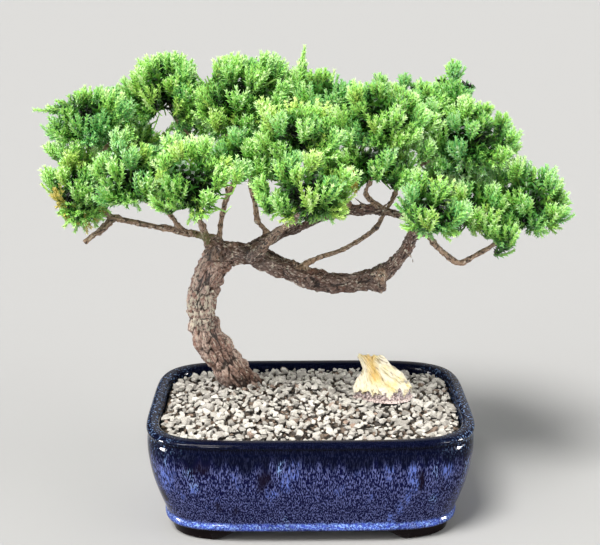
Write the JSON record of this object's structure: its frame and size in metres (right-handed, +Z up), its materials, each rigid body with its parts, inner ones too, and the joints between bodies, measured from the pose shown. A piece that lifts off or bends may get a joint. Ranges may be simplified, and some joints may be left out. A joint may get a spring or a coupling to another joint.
{
  "type": "japanese garden juniper bonsai",
  "caption": "Juniper bonsai with a bent trunk, two low main branches and a flat crown of separate needle sprays, in a rectangular blue glazed pot with gravel and a small stone.",
  "frame": {"origin": "on the surface that the pot's feet stand on, under the middle of the pot", "axes": "+X to the right of the tree's front, along the pot's long side; -Y towards the viewer of that front; +Z up"},
  "size_m": [0.4344, 0.2438, 0.385],
  "materials": {
    "glaze": "gloss",
    "screen": "matte",
    "soil": "matte",
    "gravel": "matte",
    "ornamental_stone": "matte",
    "bark": "matte",
    "foliage": "matte"
  },
  "bodies": {
    "root": {"pot": "glaze", "drain_screen_left": "screen", "drain_screen_right": "screen", "soil": "soil", "gravel": "gravel", "ornamental_stone": "ornamental_stone", "trunk_and_branches": "bark", "spray_far_left_upper": "foliage", "spray_far_left_lower": "foliage", "spray_left_dome": "foliage", "spray_left_front": "foliage", "spray_centre_left_low": "foliage", "spray_centre_left_top": "foliage", "spray_centre_mid": "foliage", "spray_centre_front_low": "foliage", "spray_centre_front": "foliage", "spray_centre_top": "foliage", "spray_right_centre": "foliage", "spray_right_centre_low": "foliage", "spray_right_mid": "foliage", "spray_right_knoll": "foliage", "spray_right_spire": "foliage", "spray_right_shoulder": "foliage", "spray_right_front_low": "foliage", "spray_right_low_mid": "foliage", "spray_far_right": "foliage", "spray_far_right_tip": "foliage", "spray_back_left": "foliage", "spray_back_centre_left": "foliage", "spray_back_centre": "foliage", "spray_back_right": "foliage", "spray_back_far_right": "foliage"}
  },
  "joints": []
}
